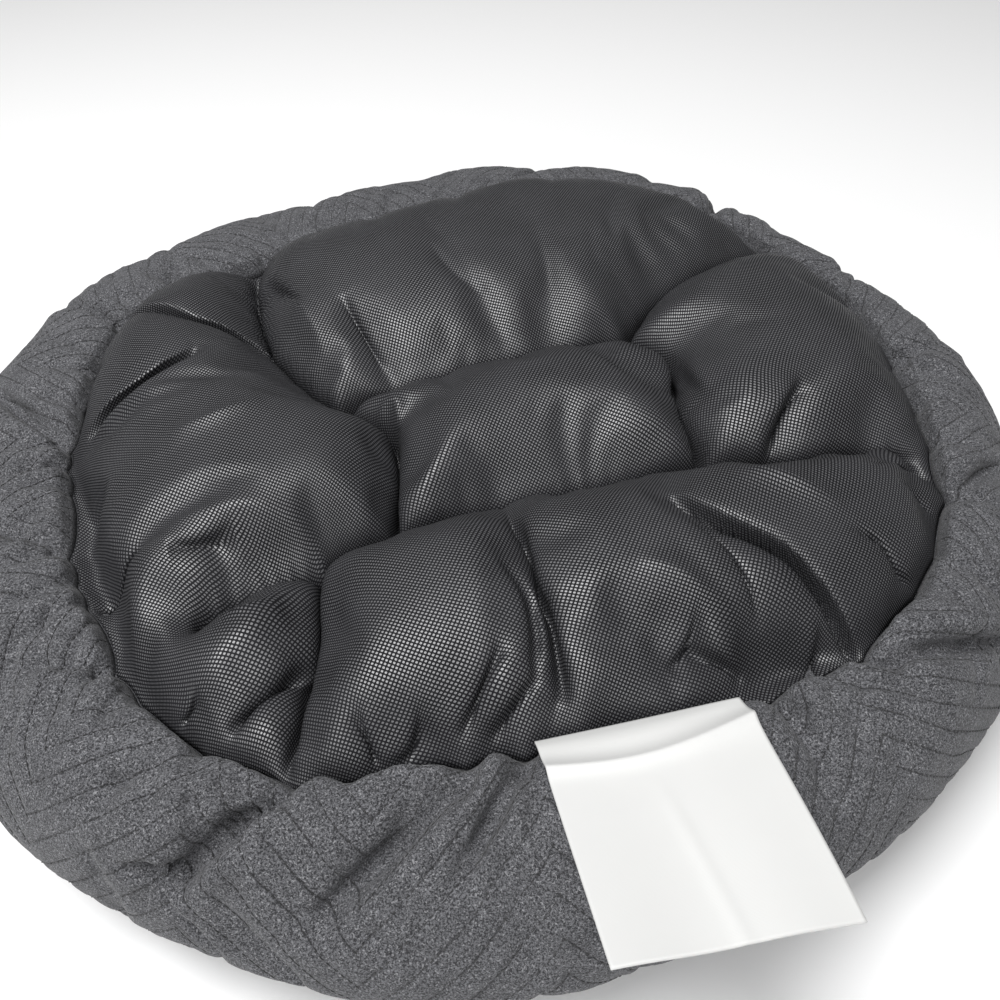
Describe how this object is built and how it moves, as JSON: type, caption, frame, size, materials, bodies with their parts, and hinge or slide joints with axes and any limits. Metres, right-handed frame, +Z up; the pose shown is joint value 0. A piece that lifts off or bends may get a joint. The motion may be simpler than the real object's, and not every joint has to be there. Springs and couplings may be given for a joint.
{
  "type": "round pet bed",
  "caption": "Round padded pet bed lying base up: a sewn, filled base cushion inside a chevron-quilted bolster rim, with a sleeping hollow below and a blank care label.",
  "frame": {"origin": "middle of the bounding box at the floor", "axes": "+Z up through the base, which faces up as in the picture; the label side faces -Y"},
  "size_m": [0.5706, 0.5848, 0.1424],
  "materials": {
    "base_fabric": "black spunbonded cloth with fine embossed points",
    "quilted_jersey": "heather grey jersey quilted in chevrons",
    "plain_jersey": "plain heather grey jersey",
    "label_cloth": "smooth white label cloth, blank"
  },
  "bodies": {
    "root": {"base_cushion": "base_fabric", "rim_outer": "quilted_jersey", "rim_inner": "plain_jersey", "care_label": "label_cloth"}
  },
  "joints": []
}
